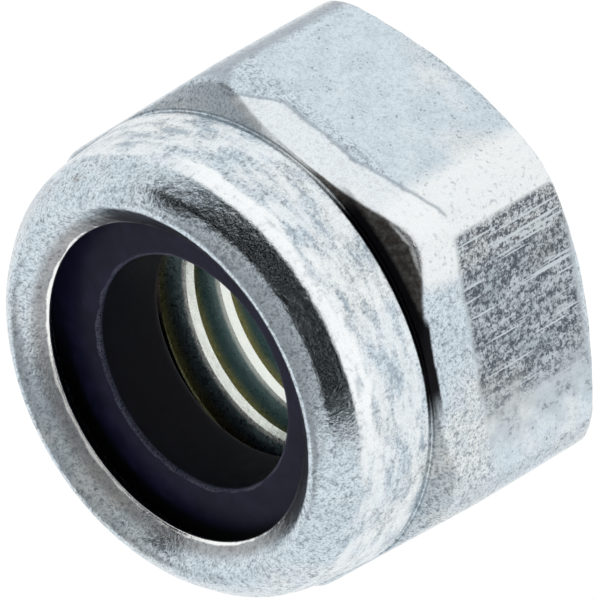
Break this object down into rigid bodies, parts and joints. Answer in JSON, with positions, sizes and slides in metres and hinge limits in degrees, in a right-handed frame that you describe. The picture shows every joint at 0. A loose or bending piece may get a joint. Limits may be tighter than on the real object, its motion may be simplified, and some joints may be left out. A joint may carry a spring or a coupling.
{
  "type": "nylon insert lock nut",
  "caption": "Hexagon lock nut with a rolled steel collar that holds a nylon locking ring.",
  "frame": {"origin": "centre of the bearing face, on the thread axis, at the bottom of the nut", "axes": "+Z along the thread axis from the bearing face to the nylon ring, +X to a corner of the hexagon, +Y square to a flat"},
  "size_m": [0.0214, 0.019, 0.0139],
  "materials": {
    "zinc_plated_steel": "satin zinc plating with fine pits, scuffs and rubbed edges",
    "nylon": "satin dark navy moulded nylon"
  },
  "bodies": {
    "root": {"nut_body": "zinc_plated_steel", "nylon_insert": "nylon"}
  },
  "joints": []
}
